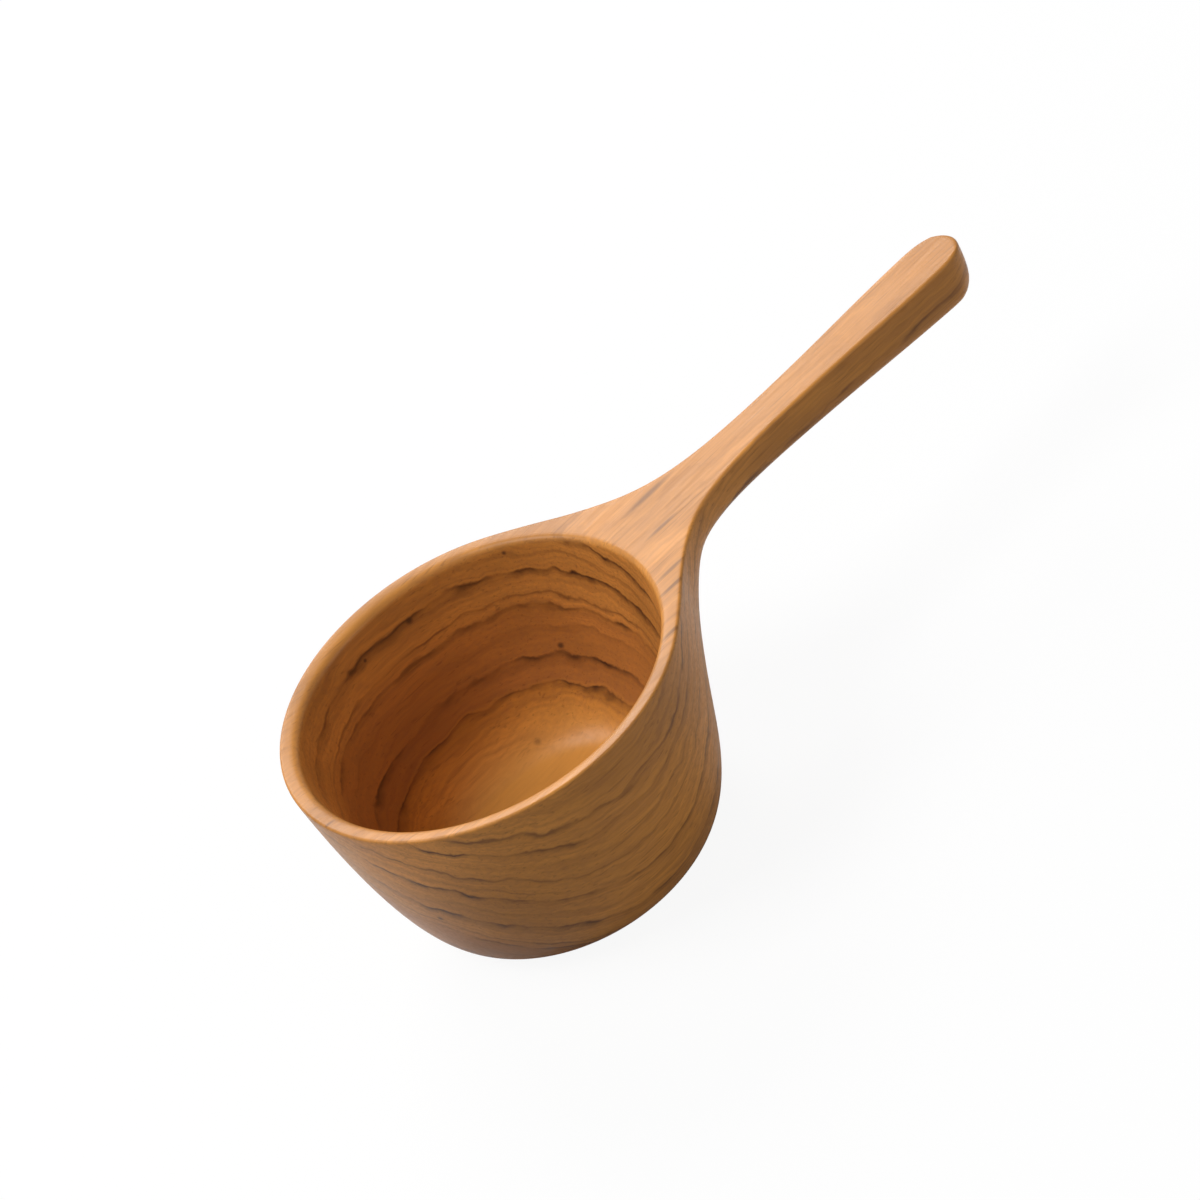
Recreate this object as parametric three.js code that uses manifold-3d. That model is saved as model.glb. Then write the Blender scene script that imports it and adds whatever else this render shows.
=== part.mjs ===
// Coffee measuring spoon in teak: a turned cup and a carved handle that flares out of its rim.
// Millimetres, +Z up. The origin is the middle of the flat base, and the handle runs along +X.
import * as THREE from 'three';
import { mergeVertices } from 'three/addons/utils/BufferGeometryUtils.js';
import Module from 'manifold-3d';

// Cup sizes
const RIM_RADIUS = 25;
const CUP_HEIGHT = 29;
const RIM_WALL = 2.2;
const RIM_OUTER_ROUND = 0.5;
const RIM_INNER_ROUND = 0.5;
const FLOOR_THICKNESS = 3.4;
const BASE_FLAT_RADIUS = 15.5;
const FOOT_RADIUS = 22.2;
const FOOT_WALL = 2.8;
const FLOOR_FLAT_RADIUS = 12;

// How far the section's two straight legs run towards the corner of the foot before they bend
const FLOOR_FULLNESS = 0.74;
const WALL_FULLNESS = 0.57;

// Handle sizes: lengths are measured from the rim, widths and depths are whole
const HANDLE_LENGTH = 55;
const NECK_FROM_RIM = 24;
const NECK_WIDTH = 5.7;
const GRIP_WIDTH = 7.1;
const ROOT_DEPTH = 4.5;
const TIP_DEPTH = 6.5;
const UNDER_FILLET = 12;
const TOP_EDGE_ROUND = 0.4;
const UNDER_EDGE_ROUND = 1;

// The flare leaves the rim's circle at this angle from the handle's middle line
const FLARE_ANGLE = THREE.MathUtils.degToRad(48);
const FLARE_PULL_AT_RIM = 16;
const FLARE_PULL_AT_NECK = 21.4;

// The gap that parts the handle's hollowed foot from the cup's wall
const SEAT_GAP = 0.3;

const CUP_SEGMENTS = 72;
const WALL_STEPS = 14;
const ROUND_STEPS = 3;
const FLARE_STEPS = 22;
const GRIP_STEPS = 10;
const TIP_STEPS = 8;
const UNDERSIDE_STEPS = 10;
const MERGE_TOLERANCE = 1e-4;

const wasm = await Module();
wasm.setup();

const point = (x, y) => new THREE.Vector2(x, y);

// Drops triangles that a merged pole or edge has closed to a line
function fullTriangles(index) {
  const kept = [];
  for (let i = 0; i < index.length; i += 3) {
    const [a, b, c] = index.slice(i, i + 3);
    if (a !== b && b !== c && c !== a) kept.push(a, b, c);
  }
  return kept;
}

function toSolid(geometry) {
  const bare = new THREE.BufferGeometry();
  bare.setAttribute('position', geometry.getAttribute('position'));
  bare.setIndex(geometry.getIndex());
  const merged = mergeVertices(bare, MERGE_TOLERANCE);
  return new wasm.Manifold(new wasm.Mesh({
    numProp: 3,
    vertProperties: Float32Array.from(merged.getAttribute('position').array),
    triVerts: Uint32Array.from(fullTriangles(Array.from(merged.getIndex().array))),
  }));
}

function toGeometry(solid) {
  const mesh = solid.getMesh();
  const geometry = new THREE.BufferGeometry();
  geometry.setAttribute('position', new THREE.BufferAttribute(mesh.vertProperties, mesh.numProp));
  geometry.setIndex(new THREE.BufferAttribute(mesh.triVerts, 1));
  geometry.computeVertexNormals();
  return geometry;
}

// A wall in section: one curve from the edge of a flat floor, round the foot and up to the rim
function wallCurve(flatRadius, footRadius, floorZ, rimRadius, rimZ) {
  const start = point(flatRadius, floorZ);
  const end = point(rimRadius, rimZ);
  const foot = point(footRadius, floorZ);
  const alongFloor = start.clone().lerp(foot, FLOOR_FULLNESS);
  const downWall = end.clone().lerp(foot, WALL_FULLNESS);
  return new THREE.CubicBezierCurve(start, alongFloor, downWall, end);
}

function quarterRound(centreX, centreY, radius, fromDegrees, toDegrees) {
  const from = THREE.MathUtils.degToRad(fromDegrees);
  const to = THREE.MathUtils.degToRad(toDegrees);
  const arc = new THREE.EllipseCurve(centreX, centreY, radius, radius, from, to, to < from);
  return arc.getPoints(ROUND_STEPS);
}

function turned(profile) {
  return new THREE.LatheGeometry(profile, CUP_SEGMENTS).rotateX(Math.PI / 2);
}

const outerWall = wallCurve(
  BASE_FLAT_RADIUS, FOOT_RADIUS, 0, RIM_RADIUS, CUP_HEIGHT - RIM_OUTER_ROUND);

function cupGeometry() {
  const innerRadius = RIM_RADIUS - RIM_WALL;
  const innerWall = wallCurve(
    FLOOR_FLAT_RADIUS, FOOT_RADIUS - FOOT_WALL, FLOOR_THICKNESS, innerRadius, CUP_HEIGHT - RIM_INNER_ROUND);
  const outerLip = quarterRound(
    RIM_RADIUS - RIM_OUTER_ROUND, CUP_HEIGHT - RIM_OUTER_ROUND, RIM_OUTER_ROUND, 0, 90);
  const innerLip = quarterRound(
    innerRadius + RIM_INNER_ROUND, CUP_HEIGHT - RIM_INNER_ROUND, RIM_INNER_ROUND, 90, 180);
  return turned([
    point(0, 0),
    ...outerWall.getPoints(WALL_STEPS),
    ...outerLip.slice(1),
    ...innerLip,
    ...innerWall.getPoints(WALL_STEPS).reverse().slice(1),
    point(0, FLOOR_THICKNESS),
  ]);
}

// The cup filled to its rim and grown by the seat gap, which hollows the handle's foot
function seatCutter() {
  const wall = outerWall.getPoints(WALL_STEPS).map((p) => point(p.x + SEAT_GAP, p.y));
  const aboveRim = CUP_HEIGHT + SEAT_GAP;
  return toSolid(turned([
    point(0, 0),
    ...wall,
    point(RIM_RADIUS + SEAT_GAP, aboveRim),
    point(0, aboveRim),
  ]));
}

// The handle's plan: stations of length x and half-width y along one edge, from the rim to the tip
function planStations() {
  const gripHalf = GRIP_WIDTH / 2;
  const tip = RIM_RADIUS + HANDLE_LENGTH;
  const leaving = point(Math.cos(FLARE_ANGLE), Math.sin(FLARE_ANGLE)).multiplyScalar(RIM_RADIUS);
  const alongRim = point(Math.sin(FLARE_ANGLE), -Math.cos(FLARE_ANGLE));
  const neck = point(RIM_RADIUS + NECK_FROM_RIM, NECK_WIDTH / 2);
  const gripEnd = point(tip - gripHalf, gripHalf);
  const flare = new THREE.CubicBezierCurve(
    leaving,
    leaving.clone().addScaledVector(alongRim, FLARE_PULL_AT_RIM),
    point(neck.x - FLARE_PULL_AT_NECK, neck.y),
    neck);
  const middle = (neck.x + gripEnd.x) / 2;
  const grip = new THREE.CubicBezierCurve(neck, point(middle, neck.y), point(middle, gripEnd.y), gripEnd);
  const tipRound = new THREE.EllipseCurve(gripEnd.x, 0, gripHalf, gripHalf, Math.PI / 2, 0, true);
  return [
    ...flare.getPoints(FLARE_STEPS),
    ...grip.getPoints(GRIP_STEPS).slice(1),
    ...tipRound.getPoints(TIP_STEPS).slice(1),
  ];
}

function wallRadiusAt(z) {
  const wall = outerWall.getPoints(WALL_STEPS);
  const above = wall.findIndex((p) => p.y > z);
  const low = wall[above - 1];
  const high = wall[above];
  return THREE.MathUtils.mapLinear(z, low.y, high.y, low.x, high.x);
}

// Depth of the underside: it thickens evenly from root to tip, and by the cup a hollow curve carries it
// down into the wall, full under the handle's middle and fading out where the flare meets the rim
const filletWall = wallRadiusAt(CUP_HEIGHT - ROOT_DEPTH - UNDER_FILLET);

function depthAt(x, y) {
  const thickening = (TIP_DEPTH - ROOT_DEPTH) / (HANDLE_LENGTH - UNDER_FILLET);
  const plain = ROOT_DEPTH + thickening * Math.max(0, x - RIM_RADIUS - UNDER_FILLET);
  const aside = Math.atan2(Math.abs(y), x) / FLARE_ANGLE;
  const radius = UNDER_FILLET * Math.max(0, 1 - aside ** 2);
  const fromWall = Math.hypot(x, y) - filletWall;
  const intoFillet = THREE.MathUtils.clamp(radius - fromWall, 0, radius);
  return plain + radius - Math.sqrt(radius ** 2 - intoFillet ** 2);
}

// One cross-section of the handle, as points of width y and height z, turning the same way each time
function sectionAt(x, halfWidth) {
  const topRound = Math.min(TOP_EDGE_ROUND, halfWidth);
  const underRound = Math.min(UNDER_EDGE_ROUND, halfWidth);
  const flat = halfWidth - underRound;
  const underside = [];
  for (let i = 1; i < UNDERSIDE_STEPS; i += 1) {
    const y = flat * ((2 * i) / UNDERSIDE_STEPS - 1);
    underside.push(point(y, CUP_HEIGHT - depthAt(x, y)));
  }
  const topZ = CUP_HEIGHT - topRound;
  const underZ = CUP_HEIGHT - depthAt(x, flat) + underRound;
  return [
    ...quarterRound(halfWidth - topRound, topZ, topRound, 0, 90),
    ...quarterRound(topRound - halfWidth, topZ, topRound, 90, 180),
    ...quarterRound(-flat, underZ, underRound, 180, 270),
    ...underside,
    ...quarterRound(flat, underZ, underRound, 270, 360),
  ];
}

// A skin over sections of equal length, closed by a fan at each end
function handleBlank() {
  const stations = planStations();
  const rings = stations.map((station) => sectionAt(station.x, station.y));
  const around = rings[0].length;
  const positions = [];
  rings.forEach((ring, i) => ring.forEach((p) => positions.push(stations[i].x, p.x, p.y)));
  const index = [];
  for (let i = 0; i < rings.length - 1; i += 1) {
    for (let j = 0; j < around; j += 1) {
      const a = i * around + j;
      const b = i * around + ((j + 1) % around);
      index.push(a, b, b + around, a, b + around, a + around);
    }
  }
  const last = (rings.length - 1) * around;
  for (let j = 1; j < around - 1; j += 1) {
    index.push(0, j + 1, j, last, last + j, last + j + 1);
  }
  const geometry = new THREE.BufferGeometry();
  geometry.setAttribute('position', new THREE.Float32BufferAttribute(positions, 3));
  geometry.setIndex(index);
  return toSolid(geometry);
}

const cupTeak = new THREE.MeshStandardMaterial({ color: 0xa9713f, roughness: 0.6, metalness: 0 });
const handleTeak = new THREE.MeshStandardMaterial({ color: 0xc98f5c, roughness: 0.6, metalness: 0 });

const cup = new THREE.Mesh(cupGeometry(), cupTeak);
cup.name = 'cup';

const handle = new THREE.Mesh(toGeometry(handleBlank().subtract(seatCutter())), handleTeak);
handle.name = 'handle';

const spoon = new THREE.Group();
spoon.add(cup, handle);

export default spoon;
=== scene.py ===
from math import acos, atan2, cos, hypot, pi, radians, sin

import bmesh
import bpy
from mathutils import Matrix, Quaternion, Vector
from mathutils.geometry import interpolate_bezier


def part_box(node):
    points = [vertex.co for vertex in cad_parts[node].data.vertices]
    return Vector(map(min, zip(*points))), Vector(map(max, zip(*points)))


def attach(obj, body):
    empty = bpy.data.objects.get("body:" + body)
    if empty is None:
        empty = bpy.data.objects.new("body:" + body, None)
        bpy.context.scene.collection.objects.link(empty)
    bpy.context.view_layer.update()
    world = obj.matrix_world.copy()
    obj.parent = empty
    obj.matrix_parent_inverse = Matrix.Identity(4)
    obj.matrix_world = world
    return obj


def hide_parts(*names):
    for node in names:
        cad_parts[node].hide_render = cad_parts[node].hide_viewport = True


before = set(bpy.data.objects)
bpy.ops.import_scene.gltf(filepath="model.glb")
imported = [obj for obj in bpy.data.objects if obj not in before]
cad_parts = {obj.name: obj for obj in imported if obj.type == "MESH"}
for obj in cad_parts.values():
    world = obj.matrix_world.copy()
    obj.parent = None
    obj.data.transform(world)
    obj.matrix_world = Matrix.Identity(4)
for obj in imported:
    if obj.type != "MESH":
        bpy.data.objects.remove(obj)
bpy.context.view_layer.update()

# Cup: a thin-walled cup of teak, turned from the same block that the handle is carved from. Its wall runs
# in one curve from a flat base, round a soft foot and up to a flat rim, and the inside follows it at a
# nearly even thickness. Away from the handle the rim's top slopes slightly inwards.
mm = 0.001
drawn_in_by_smoothing = 0.11 * mm
rim_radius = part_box("cup")[1].x + drawn_in_by_smoothing
cup_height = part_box("cup")[1].z
rim_wall = 2.3 * mm
rim_dip = 0.35 * mm
rim_dip_starts = radians(43.2)
rim_dip_full = radians(91.2)
floor_thickness = 3.4 * mm
base_flat_radius = 15.8 * mm
foot_radius = 22.35 * mm
foot_wall = 2.8 * mm
floor_flat_radius = 12 * mm
floor_insets = (0.6, 0.45)
ring_points = 64
wall_loops = 12
touch = 0.01 * mm
touch_angle = radians(0.01)

# How far the section's two straight legs run towards the corner of the foot before they bend
floor_fullness = 0.74
wall_fullness = 0.57

# Oiled teak: heartwood, sawn so that its growth rings lie round a pith below the cup's far side. Turned,
# sanded fine and oiled, it has a satin sheen and a golden brown that deepens towards each ring, with thin,
# dark, wavering ring lines and short pores along the handle. Its lengths and places are in millimetres.
pith = Vector((0, 18.9, -22.2))

# Rings: each one's distance from the pith and how dark it ends, and how soon that end fades
rings_from = 26.0
rings_to = 67.0
ring_darkness = {
    28.4: 0.4, 32.9: 0.97, 36.2: 1.0, 39.6: 0.7, 42.3: 0.95, 43.7: 0.95, 47.4: 1.0, 49.8: 0.7,
    52.2: 0.98, 53.7: 0.6, 55.5: 0.88, 57.6: 0.7, 59.7: 1.0, 62.0: 0.96, 65.4: 0.75,
}
ring_fade = 0.45
ring_waver = {"wander": 2.4, "jag": 2.0}
band_strength = 0.16
band_sharpness = 2
line_sharpness = 4

# Broken ring lines: the values of their pattern where they are faintest and whole, and the share that is
# left where they are faintest
line_breaks = (0.4, 0.62, 0.25)

# Places where the ring lines stand out more or less: the place, its radius and the change
ring_line_changes = (
    ((21.8, 2.0, 25.0), 11, 0.5),
    ((17.5, 8.0, 12.5), 8, 0.4),
    ((-21.5, -10.5, 21.5), 9, 0.6),
    ((-20.0, 2.0, 18.0), 16, -0.4),
)

# Tones of the heartwood by distance from the pith
heart_tones = {26.0: "#d6984a", 32.6: "#c6853a", 33.4: "#a96d36", 41.0: "#b27336", 44.0: "#c98840"}

# Grain patterns: the length along the wood, the width across it and the levels of finer detail. Real pores
# are 0.1 to 0.3 mm across and real fibres far finer, and both are drawn coarser so that they show.
grain_sizes = {
    "wander": (25, 10, 2),
    "jag": (5, 2.5, 3),
    "break": (8, 3, 2),
    "mottle": (30, 12, 2),
    "fibre": (10, 0.45, 3),
    "pore": (9, 0.32, 1),
}
streak_size = (14, 0.5, 3)

# Fine grain: the values of each pattern at which it starts to show and shows fully, and its full strength
fine_grain = {"streak": (0.4, 0.75, 0.45), "fibre": (0.4, 0.75, 0.3), "pore": (0.63, 0.72, 0.3)}

# Fainter grain on the flat top and the level floor, which are cut along it. The fading is partly painted
# sheen, as the light that these level faces throw back washes their grain out. The values: the depth below
# the top, or the distance from the floor's middle, at which it starts to fade and is faintest, and the
# share that is left
sheen_fade_at_top = (1.0, 0.3, 0.72)
sheen_fade_at_floor = (18, 13, 0.3)

# Most values of a pattern lie in this span. Over it the tone is mottled and the oil's roughness varies.
pattern_span = (0.3, 0.7)
mottled_tone = (0.8, 1.2)
oil_roughness = (0.31, 0.41)

# Dark marks: round specks of resin, and streaks drawn out along the grain, each a place and a half-width
resin_specks = (
    ((16.7, 15.4, 27.7), 0.4),
    ((15.8, 12.2, 14.2), 0.55),
    ((-2.7, 22.1, 24.8), 0.35),
    ((4.5, 21.8, 24.9), 0.6),
    ((-21.5, -8.0, 13.5), 0.5),
)
faint_specks = (
    ((7.5, 13.3, 5.0), 0.6),
)
dark_streaks = (
    ((31.2, 3.3, 29.0), 0.6),
    ((28.3, -2.7, 29.0), 0.4),
    ((23.9, -9.5, 29.0), 0.4),
    ((22.3, -11.9, 29.0), 0.35),
    ((17.2, -17.7, 29.0), 0.4),
    ((-23.7, -0.6, 29.0), 0.35),
)
speck_darkness = 0.8
faint_darkness = 0.4
streak_darkness = 0.55
streak_stretch = 8


def linear(colour):
    """A colour written as sRGB hex, as linear values with alpha."""
    parts = [int(colour[first:first + 2], 16) / 255 for first in (1, 3, 5)]
    return (*(part / 12.92 if part <= 0.04045 else ((part + 0.055) / 1.055) ** 2.4 for part in parts), 1)


def add(tree, kind, inputs=None, **settings):
    """Adds a shader node with its settings, and gives each input its value or its link."""
    node = tree.nodes.new("ShaderNode" + kind)
    for name, value in settings.items():
        setattr(node, name, value)
    for name, value in (inputs or {}).items():
        if isinstance(value, bpy.types.NodeSocket):
            tree.links.new(value, node.inputs[name])
        else:
            node.inputs[name].default_value = value
    return node


def add_stop(ramp, distance, colour):
    """Adds a colour to a ramp at a distance from the pith."""
    stop = ramp.elements.new((distance - rings_from) / (rings_to - rings_from))
    stop.color = colour


teak = bpy.data.materials.new("oiled_teak")
teak.use_nodes = True
tree = teak.node_tree
wood = tree.nodes["Principled BSDF"]
place = add(tree, "TexCoord").outputs["Object"]
from_pith = add(tree, "Mapping", {
    "Vector": place, "Location": -pith, "Scale": (1 / mm, 1 / mm, 1 / mm)}).outputs[0]
grain = {}
for name, (along, across, detail) in grain_sizes.items():
    drawn_out = add(tree, "Mapping", {
        "Vector": from_pith, "Scale": (1 / along, 1 / across, 1 / across)}).outputs[0]
    grain[name] = add(tree, "TexNoise", {"Vector": drawn_out, "Scale": 1, "Detail": detail}).outputs["Fac"]

# The distance from the pith wavers along the wood
off_pith = add(tree, "VectorMath", {0: from_pith, 1: (0, 1, 1)}, operation="MULTIPLY").outputs[0]
distance = add(tree, "VectorMath", {0: off_pith}, operation="LENGTH").outputs["Value"]
for name, reach in ring_waver.items():
    distance = add(tree, "Math", {
        0: grain[name], 1: reach, 2: distance}, operation="MULTIPLY_ADD").outputs[0]
shift = sum(ring_waver.values()) / 2
ring_share = add(tree, "MapRange", {
    "Value": distance, "From Min": rings_from + shift, "From Max": rings_to + shift}).outputs[0]

# Streaks follow the rings
along_pith = add(tree, "SeparateXYZ", {0: from_pith}).outputs["X"]
on_ring = add(tree, "CombineXYZ", {"X": along_pith, "Y": distance}).outputs[0]
along, across, detail = streak_size
drawn_out = add(tree, "Mapping", {"Vector": on_ring, "Scale": (1 / along, 1 / across, 1)}).outputs[0]
grain["streak"] = add(tree, "TexNoise", {"Vector": drawn_out, "Scale": 1, "Detail": detail}).outputs["Fac"]

# The grain fades on the top and the floor, partly as painted sheen
height = add(tree, "SeparateXYZ", {0: place}).outputs["Z"]
fades_from, faintest_at, left = sheen_fade_at_top
sheen_faint_top = add(tree, "MapRange", {
    "Value": height, "From Min": cup_height - fades_from * mm, "From Max": cup_height - faintest_at * mm,
    "To Min": 1.0, "To Max": left}).outputs[0]
floor_middle = Vector((0, 0, floor_thickness / mm))
from_floor = add(tree, "VectorMath", {
    0: from_pith, 1: floor_middle - pith}, operation="DISTANCE").outputs["Value"]
fades_from, faintest_at, left = sheen_fade_at_floor
sheen_faint_floor = add(tree, "MapRange", {
    "Value": from_floor, "From Min": fades_from, "From Max": faintest_at,
    "To Min": 1.0, "To Max": left}).outputs[0]

# Each ring darkens slowly and ends sharply: a soft band with a thin, broken line at its end
rings = add(tree, "ValToRGB", {"Fac": ring_share})
for stop in rings.color_ramp.elements:
    stop.color = linear("#000000")
for ring, darkness in ring_darkness.items():
    add_stop(rings.color_ramp, ring, (darkness, darkness, darkness, 1))
    add_stop(rings.color_ramp, ring + ring_fade, linear("#000000"))
# On the top the rings fade, partly as painted sheen
latewood = add(tree, "Math", {0: rings.outputs["Color"], 1: sheen_faint_top}, operation="MULTIPLY").outputs[0]
band = add(tree, "Math", {0: latewood, 1: band_sharpness}, operation="POWER").outputs[0]
band = add(tree, "Math", {0: band, 1: band_strength}, operation="MULTIPLY").outputs[0]
line = add(tree, "Math", {0: latewood, 1: line_sharpness}, operation="POWER").outputs[0]
faintest, whole, left = line_breaks
unbroken = add(tree, "MapRange", {
    "Value": grain["break"], "From Min": faintest, "From Max": whole,
    "To Min": left, "To Max": 1.0}).outputs[0]
for middle, radius, change in ring_line_changes:
    away = add(tree, "VectorMath", {
        0: from_pith, 1: Vector(middle) - pith}, operation="DISTANCE").outputs["Value"]
    change_here = add(tree, "MapRange", {
        "Value": away, "From Min": radius, "From Max": radius / 2, "To Max": change}).outputs[0]
    unbroken = add(tree, "Math", {0: unbroken, 1: change_here}, operation="ADD").outputs[0]
line = add(tree, "Math", {0: line, 1: unbroken}, operation="MULTIPLY").outputs[0]

# The heartwood's tones take the place of the ramp's own two stops. They are mottled, and the bands, lines,
# fine grain and marks lie over them in turn. A Mix node's colours are its inputs 6 and 7 and its output 2.
heart = add(tree, "ValToRGB", {"Fac": ring_share})
for distance_from_pith, colour in heart_tones.items():
    add_stop(heart.color_ramp, distance_from_pith, linear(colour))
for own_stop in (0, -1):
    heart.color_ramp.elements.remove(heart.color_ramp.elements[own_stop])
mottle = add(tree, "MapRange", {
    "Value": grain["mottle"], "From Min": pattern_span[0], "From Max": pattern_span[1],
    "To Min": mottled_tone[0], "To Max": mottled_tone[1]}).outputs[0]
tone = add(tree, "Mix", {
    0: 1.0, 6: heart.outputs["Color"], 7: mottle}, data_type="RGBA", blend_type="MULTIPLY").outputs[2]
shows = {}
# The fine grain fades on the floor, and the streaks also on the top, partly as painted sheen
for name, (least, most, strength) in fine_grain.items():
    shows[name] = add(tree, "MapRange", {
        "Value": grain[name], "From Min": least, "From Max": most, "To Max": strength}).outputs[0]
    shows[name] = add(tree, "Math", {0: shows[name], 1: sheen_faint_floor}, operation="MULTIPLY").outputs[0]
shows["streak"] = add(tree, "Math", {0: shows["streak"], 1: sheen_faint_top}, operation="MULTIPLY").outputs[0]
layers = [
    (band, "#a2602a"),
    (shows["streak"], "#8a5a33"),
    (shows["fibre"], "#8a5a3a"),
    (line, "#4a2d1b"),
    (shows["pore"], "#6a4526"),
]
for stretch, darkest, marks in (
        (1, speck_darkness, resin_specks),
        (1, faint_darkness, faint_specks),
        (streak_stretch, streak_darkness, dark_streaks)):
    drawn_out = add(tree, "Mapping", {"Vector": from_pith, "Scale": (1 / stretch, 1, 1)}).outputs[0]
    for (x, y, z), spread in marks:
        away = add(tree, "VectorMath", {
            0: drawn_out, 1: Vector((x / stretch, y, z)) - pith}, operation="DISTANCE").outputs["Value"]
        mark = add(tree, "MapRange", {
            "Value": away, "From Min": spread, "From Max": spread / 3, "To Max": darkest}).outputs[0]
        layers.append((mark, "#4a3020"))
for strength, colour in layers:
    tone = add(tree, "Mix", {0: strength, 6: tone, 7: linear(colour)}, data_type="RGBA").outputs[2]
tree.links.new(tone, wood.inputs["Base Color"])

# The sheen is uneven along the fibres. A film of oil has an IOR of about 1.47, and it is lower here because
# the wood has soaked the oil up and only a faint sheen is left.
roughness = add(tree, "MapRange", {
    "Value": grain["fibre"], "From Min": pattern_span[0], "From Max": pattern_span[1],
    "To Min": oil_roughness[0], "To Max": oil_roughness[1]}).outputs[0]
tree.links.new(roughness, wood.inputs["Roughness"])
wood.inputs["IOR"].default_value = 1.26
bump = add(tree, "Bump", {
    "Height": grain["fibre"], "Strength": 0.2, "Distance": 0.05 * mm}, invert=True).outputs[0]
tree.links.new(bump, wood.inputs["Normal"])


def wall_curve(flat, foot, floor, rim):
    """Half a section of the wall: from the edge of a flat floor, round the foot and up to the rim."""
    start = Vector((flat, floor, 0))
    corner = Vector((foot, floor, 0))
    end = Vector((rim, cup_height, 0))
    along_floor = start.lerp(corner, floor_fullness)
    down_wall = end.lerp(corner, wall_fullness)
    return interpolate_bezier(start, along_floor, down_wall, end, wall_loops + 1)


def side_angle(place):
    """How far a place lies round the cup from the handle's middle line."""
    return abs(atan2(place.y, place.x))


# A circle is drawn up along the outside, over the rim, and down along the inside to the middle of the floor
outside = wall_curve(base_flat_radius, foot_radius, 0, rim_radius)
inside = wall_curve(floor_flat_radius, foot_radius - foot_wall, floor_thickness, rim_radius - rim_wall)
section = [*outside, *reversed(inside)]
section += [Vector((floor_flat_radius * share, floor_thickness, 0)) for share in floor_insets]
bpy.ops.object.select_all(action="DESELECT")
bpy.ops.mesh.primitive_circle_add(vertices=ring_points, radius=base_flat_radius, fill_type="NGON")
cup = bpy.context.object
cup.name = "teak_cup"
cup.data.materials.append(teak)
bpy.ops.object.mode_set(mode="EDIT")
bpy.ops.mesh.select_mode(type="FACE")
for here, following in zip(section, section[1:]):
    bpy.ops.mesh.extrude_region_move(TRANSFORM_OT_translate={"value": (0, 0, following.y - here.y)})
    wider = following.x / here.x
    bpy.ops.transform.resize(value=(wider, wider, 1), center_override=(0, 0, 0))

# The rim's inner edge dips, fully on the side away from the handle
mesh = bmesh.from_edit_mesh(cup.data)
for vertex in mesh.verts:
    on_top = cup_height - vertex.co.z < touch
    on_inner_edge = abs(hypot(vertex.co.x, vertex.co.y) - rim_radius + rim_wall) < touch
    if on_top and on_inner_edge:
        away = (side_angle(vertex.co) - rim_dip_starts) / (rim_dip_full - rim_dip_starts)
        vertex.co.z -= rim_dip * min(1, max(0, away))
bmesh.update_edit_mesh(cup.data)

# Handle: a slim arm of the same teak, carved in one with the cup, its flat top level with the rim. It
# flares out of the rim, narrows to a neck, then widens and thickens to a round end, and a hollow curve
# under its root carries it into the cup's wall.
tip_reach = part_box("handle")[1].x
flare_angle = radians(48)
flare_pull_at_rim = 16 * mm
flare_pull_at_neck = 21.4 * mm
neck_at = 49 * mm
neck_half_width = 2.85 * mm
grip_half_width = 3.55 * mm
tip_round_length = 4.5 * mm
root_at = 36 * mm
root_depth = 4.5 * mm
tip_depth = 6.5 * mm
under_edge_round = 0.9 * mm
under_width_share = 0.78
root_angle = radians(22.5)
root_loops = 2
hollow_from = 4 * mm
hollow_to = 19.5 * mm
keel_fullness = 0.9
outer_edge_round = 0.45 * mm
inner_edge_round = 0.8 * mm
edge_segments = 3
smoothing_levels = 2
parting_at = 31.4 * mm
mid_wall_radius = rim_radius - rim_wall / 2
flare_points = 200
grip_points = 100

# A face counts as level where its normal rises or falls more steeply than this
level_normal = 0.9

# Stations along the handle: how far out each lies, how much deeper its middle hangs and how far its
# underside leans out. Both fade away along the root.
stations = [
    (28 * mm, 2.27 * mm, 1.3 * mm),
    (31 * mm, 1.03 * mm, 0.8 * mm),
    (34 * mm, 0.34 * mm, 0.5 * mm),
]
stations += [(x * mm, 0, 0) for x in (37.5, 41, 45, 49, 54, 59, 64, 69, 73)]
stations += [(tip_reach - tip_round_length, 0, 0)]

# The round end's loops: how far along it each one starts, and its share of the end's bow. The end reaches
# furthest at the top, and less far at the side's lower edge and on the underside.
tip_loops = ((0.35, 0.3), (0.65, 1))
tip_reaches = (1, 0.95, 0.5)

leaving_rim = Vector((cos(flare_angle), sin(flare_angle), 0)) * rim_radius
along_rim = Vector((sin(flare_angle), -cos(flare_angle), 0))
neck = Vector((neck_at, neck_half_width, 0))
grip_end = Vector((tip_reach - tip_round_length, grip_half_width, 0))
grip_middle = (neck_at + grip_end.x) / 2
flare = interpolate_bezier(
    leaving_rim,
    leaving_rim + along_rim * flare_pull_at_rim,
    neck - Vector((flare_pull_at_neck, 0, 0)),
    neck,
    flare_points)
grip = interpolate_bezier(
    neck,
    Vector((grip_middle, neck_half_width, 0)),
    Vector((grip_middle, grip_half_width, 0)),
    grip_end,
    grip_points)


def half_width(x):
    """Half the handle's width at a distance from the cup's axis."""
    return min([*flare, *grip], key=lambda p: abs(p.x - x)).y


def plain_depth(x):
    """The handle's depth, which grows evenly from the root to the tip."""
    return root_depth + (tip_depth - root_depth) * (x - root_at) / (tip_reach - root_at)


def overhang(angle):
    """How far the flare stands out from the rim's circle, and the keel under the handle beyond it."""
    reach = [p.length for p in flare if side_angle(p) >= max(angle, root_angle)][-1] - rim_radius
    inwards = max(0, 1 - angle / root_angle)
    return reach * (1 + keel_fullness * inwards * (2 - inwards))


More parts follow.
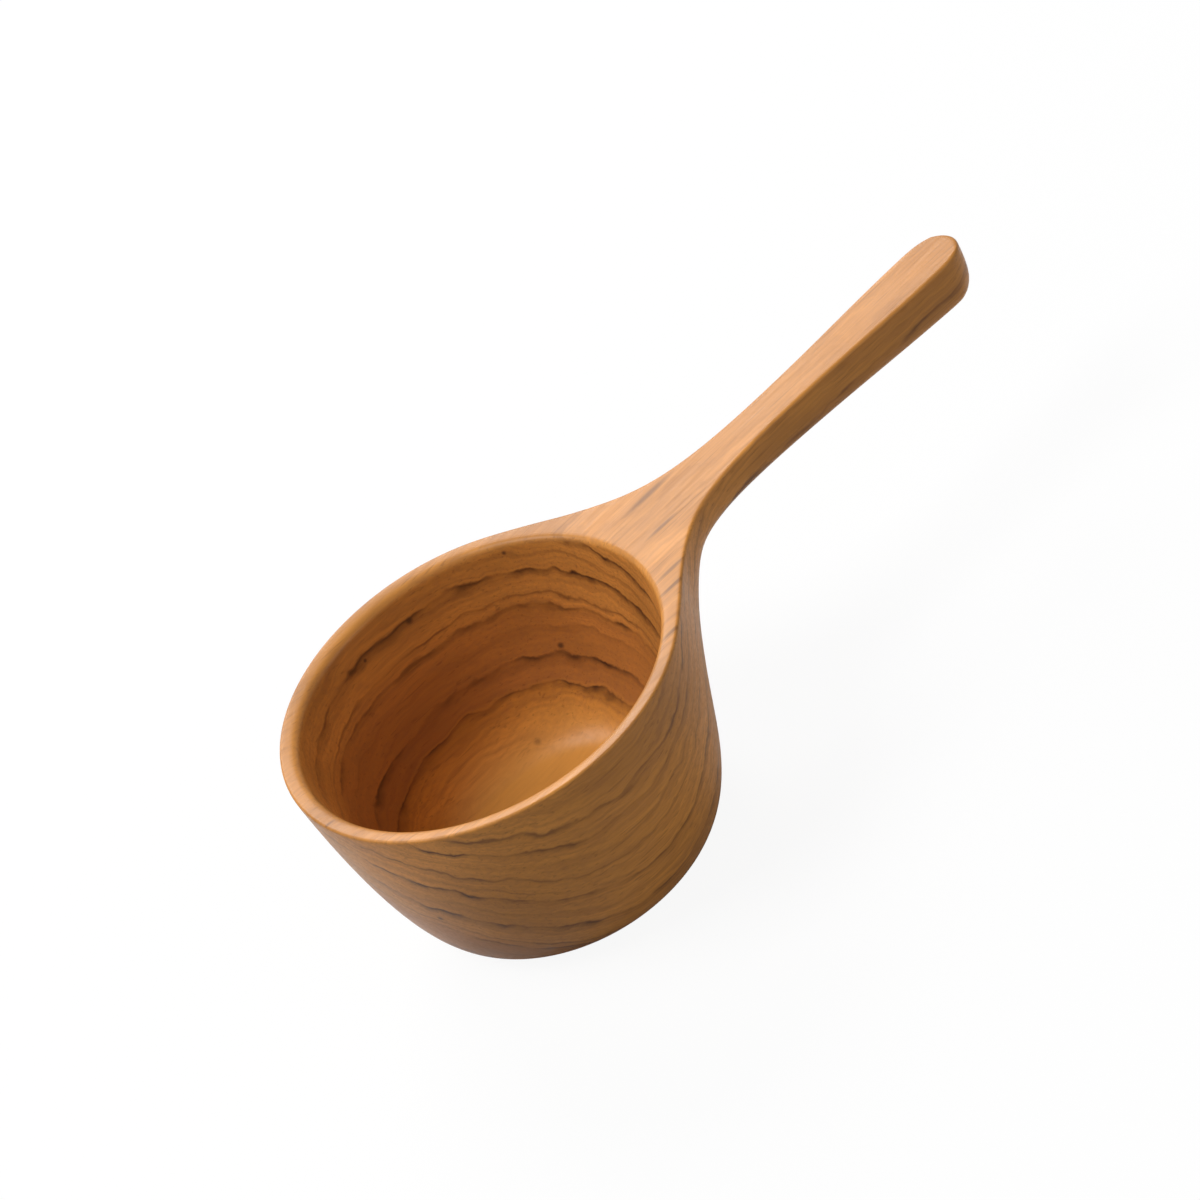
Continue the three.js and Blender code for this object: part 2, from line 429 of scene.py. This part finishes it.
# The wall swells out to carry the flare: fully just below the rim, and less and less down the hollow
mesh = bmesh.from_edit_mesh(cup.data)
for vertex in mesh.verts:
    radius = hypot(vertex.co.x, vertex.co.y)
    angle = side_angle(vertex.co)
    down = cup_height - vertex.co.z
    wall_here = min(outside, key=lambda p: abs(p.y - vertex.co.z))
    on_outside = abs(radius - wall_here.x) < touch
    under_root = down < touch and angle < root_angle - touch_angle
    if on_outside and angle < flare_angle and down < hollow_to and not under_root:
        fade = max(0, (down - hollow_from) / (hollow_to - hollow_from))
        push = overhang(angle) * (1 - 3 * fade ** 2 + 2 * fade ** 3)
        vertex.co.xy *= 1 + push / radius
bmesh.update_edit_mesh(cup.data)

# A patch of the wall, as high as its top loops, is drawn out from station to station and round the end
root_low = outside[-1 - root_loops].y
mesh = bmesh.from_edit_mesh(cup.data)
for face in mesh.faces:
    centre = face.calc_center_median()
    upright = abs(face.normal.z) < level_normal
    on_wall = upright and hypot(centre.x, centre.y) > mid_wall_radius
    face.select_set(on_wall and centre.z > root_low and side_angle(centre) < root_angle)
bmesh.update_edit_mesh(cup.data)
columns = round(root_angle * ring_points / pi) + 1
shares = [2 * column / (columns - 1) - 1 for column in range(columns)]


def rows_of_patch():
    """The patch's vertices as rows from the top down, each from the near side to the far side."""
    mesh = bmesh.from_edit_mesh(cup.data)
    chosen = sorted((v for v in mesh.verts if v.select), key=lambda v: -v.co.z)
    rows = [chosen[first:first + columns] for first in range(0, len(chosen), columns)]
    return [sorted(row, key=lambda v: v.co.y) for row in rows]


for x, deeper, lean in stations:
    bpy.ops.mesh.extrude_region_move(TRANSFORM_OT_translate={"value": (0, 0, 0)})
    width = half_width(x)
    underside = cup_height - plain_depth(x)
    for share, top, side, under in zip(shares, *rows_of_patch()):
        y = width * share
        middling = 1 - share ** 2
        top.co = (x, y, cup_height)
        side.co = (x + lean / 2, y, underside + under_edge_round)
        under.co = (x + lean, y * under_width_share, underside - deeper * middling)
    bmesh.update_edit_mesh(cup.data)
for along, bow in tip_loops:
    bpy.ops.mesh.extrude_region_move(TRANSFORM_OT_translate={"value": (0, 0, 0)})
    for row, reach, width_share in zip(rows_of_patch(), tip_reaches, (1, 1, under_width_share)):
        for share, vertex in zip(shares, row):
            turn = share * acos(along)
            ahead = along + bow * (cos(turn) - along)
            vertex.co.x = grip_end.x + tip_round_length * reach * ahead
            vertex.co.y = grip_half_width * width_share * sin(turn)
    bmesh.update_edit_mesh(cup.data)

# The top's outer and inner edges are eased
bpy.ops.mesh.select_all(action="SELECT")
bpy.ops.mesh.normals_make_consistent(inside=False)
bpy.ops.mesh.select_mode(type="EDGE")
for is_inner, edge_round in ((False, outer_edge_round), (True, inner_edge_round)):
    mesh = bmesh.from_edit_mesh(cup.data)
    for edge in mesh.edges:
        middle = (edge.verts[0].co + edge.verts[1].co) / 2
        tops = [face.normal.z > level_normal for face in edge.link_faces]
        on_edge = middle.z > cup_height - rim_dip - touch and any(tops) and not all(tops)
        inside_rim = hypot(middle.x, middle.y) < mid_wall_radius
        edge.select_set(on_edge and is_inner == inside_rim)
    bmesh.update_edit_mesh(cup.data)
    bpy.ops.mesh.bevel(offset=edge_round, segments=edge_segments)

# The faces beyond the parting line get a second material index, which lasts while the spoon is smoothed
mesh = bmesh.from_edit_mesh(cup.data)
for face in mesh.faces:
    face.material_index = int(face.calc_center_median().x > parting_at)
bmesh.update_edit_mesh(cup.data)
bpy.ops.object.mode_set(mode="OBJECT")
smooth = cup.modifiers.new("smooth", "SUBSURF")
smooth.levels = smoothing_levels
smooth.render_levels = smoothing_levels
bpy.ops.object.modifier_apply(modifier="smooth")
bpy.ops.object.shade_smooth()

# The marked faces are parted off as the handle, and each piece is closed at the parting line. The edges
# there are sharp, so that the faces that close it don't bend the shading of the wood beside them.
bpy.ops.object.mode_set(mode="EDIT")
bpy.ops.mesh.select_mode(type="FACE")
mesh = bmesh.from_edit_mesh(cup.data)
for face in mesh.faces:
    face.select_set(face.material_index == 1)
    face.material_index = 0
bmesh.update_edit_mesh(cup.data)
bpy.ops.mesh.separate(type="SELECTED")
bpy.ops.object.mode_set(mode="OBJECT")
handle = next(piece for piece in bpy.context.selected_objects if piece != cup)
handle.name = "teak_handle"
for piece in (cup, handle):
    bpy.ops.object.select_all(action="DESELECT")
    bpy.context.view_layer.objects.active = piece
    piece.select_set(True)
    bpy.ops.object.mode_set(mode="EDIT")
    bpy.ops.mesh.select_mode(type="EDGE")
    bpy.ops.mesh.select_all(action="DESELECT")
    bpy.ops.mesh.select_non_manifold()
    bpy.ops.mesh.mark_sharp()
    bpy.ops.mesh.fill()
    bpy.ops.mesh.select_all(action="SELECT")
    bpy.ops.mesh.normals_make_consistent(inside=False)
    bpy.ops.object.mode_set(mode="OBJECT")

# The two pieces are one mesh until here, so both are hung from the frame's root together, and each hides
# the part it stands for
for piece, node in ((cup, "cup"), (handle, "handle")):
    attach(piece, "root")
    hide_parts(node)

# Floor and background: a wide sheet of matt white paper in a white room. The eye and gloss see them white,
# with only a faint shadow on the paper. What they throw back at the spoon is dimmer, so that the lamps
# shape it.
floor_side = 6000 * mm
shadow_hidden = 0.92
room_light = 0.17


def seen_directly(tree):
    """One for rays from the camera, a gloss or a clear surface, and nought for all other light."""
    ray = add(tree, "LightPath").outputs
    seen = ray["Is Camera Ray"]
    for other in ("Is Glossy Ray", "Is Transmission Ray"):
        seen = add(tree, "Math", {0: seen, 1: ray[other]}, operation="MAXIMUM").outputs[0]
    return seen


bpy.ops.mesh.primitive_plane_add(size=floor_side)
floor = bpy.context.object
floor.name = "floor"
paper = bpy.data.materials.new("white_paper")
paper.use_nodes = True
tree = paper.node_tree
tree.nodes.clear()
matt_white = add(tree, "BsdfDiffuse", {"Color": linear("#e7e7e7")}).outputs[0]
matt_grey = add(tree, "BsdfDiffuse", {"Color": linear("#a6a6a6")}).outputs[0]
glow = add(tree, "Emission", {"Color": linear("#ffffff"), "Strength": 1.0}).outputs[0]
to_camera = add(tree, "LightPath").outputs["Is Camera Ray"]
evened = add(tree, "Math", {0: to_camera, 1: shadow_hidden}, operation="MULTIPLY").outputs[0]
shown = add(tree, "MixShader", {0: evened, 1: matt_white, 2: glow}).outputs[0]
sheet = add(tree, "MixShader", {0: seen_directly(tree), 1: matt_grey, 2: shown}).outputs[0]
add(tree, "OutputMaterial", {"Surface": sheet})
floor.data.materials.append(paper)

world = bpy.data.worlds.new("white_room")
bpy.context.scene.world = world
world.use_nodes = True
tree = world.node_tree
tree.nodes.clear()
strength = add(tree, "MapRange", {
    "Value": seen_directly(tree), "To Min": room_light, "To Max": 1.0}).outputs[0]
room = add(tree, "Background", {"Color": linear("#ffffff"), "Strength": strength}).outputs[0]
add(tree, "OutputWorld", {"Surface": room})

# Light: three softboxes, a metre from the spoon. The key stands high on the left, the sheen box opposite
# the camera, where the flat top mirrors it, and a weak fill low on the near right. Each has its azimuth and
# elevation in degrees, its watts and its side in metres.
softboxes = {
    "key_softbox": (155, 59, 8.2, 0.5),
    "sheen_softbox": (71, 36, 6.7, 0.5),
    "fill_softbox": (304, 16, 1.95, 0.6),
}
softbox_distance = 1000 * mm
for name, (azimuth, elevation, watts, box_side) in softboxes.items():
    azimuth = radians(azimuth)
    elevation = radians(elevation)
    light_from = Vector((cos(azimuth) * cos(elevation), sin(azimuth) * cos(elevation), sin(elevation)))
    bpy.ops.object.light_add(type="AREA", location=light_from * softbox_distance)
    softbox = bpy.context.object
    softbox.name = name
    softbox.data.energy = watts
    softbox.data.size = box_side
    softbox.rotation_euler = light_from.to_track_quat("Z", "Y").to_euler()

# Camera: a long lens looks down into the cup from the near side, rolled so that the handle climbs to the
# upper right. The spoon stands a little low and left of the middle of the square frame.
camera_azimuth = radians(-20.03)
camera_elevation = radians(38.08)
camera_roll = radians(-30.73)
camera_distance = 750 * mm
camera_lens = 194.1
cup_middle = Vector((0, 0, 15 * mm))
frame_middle_right_of_cup = 8.64 * mm
frame_middle_above_cup = 18.85 * mm

towards_camera = Vector((
    sin(camera_azimuth) * cos(camera_elevation),
    -cos(camera_azimuth) * cos(camera_elevation),
    sin(camera_elevation)))
facing_cup = (-towards_camera).to_track_quat("-Z", "Y") @ Quaternion((0, 0, 1), camera_roll)
stand = cup_middle + towards_camera * camera_distance
aim = cup_middle + facing_cup @ Vector((frame_middle_right_of_cup, frame_middle_above_cup, 0))
bpy.ops.object.camera_add(location=stand)
camera = bpy.context.object
camera.rotation_mode = "QUATERNION"
camera.rotation_quaternion = (-towards_camera).rotation_difference(aim - stand) @ facing_cup
camera.data.lens = camera_lens
bpy.context.scene.camera = camera
bpy.context.scene.view_settings.view_transform = "Standard"
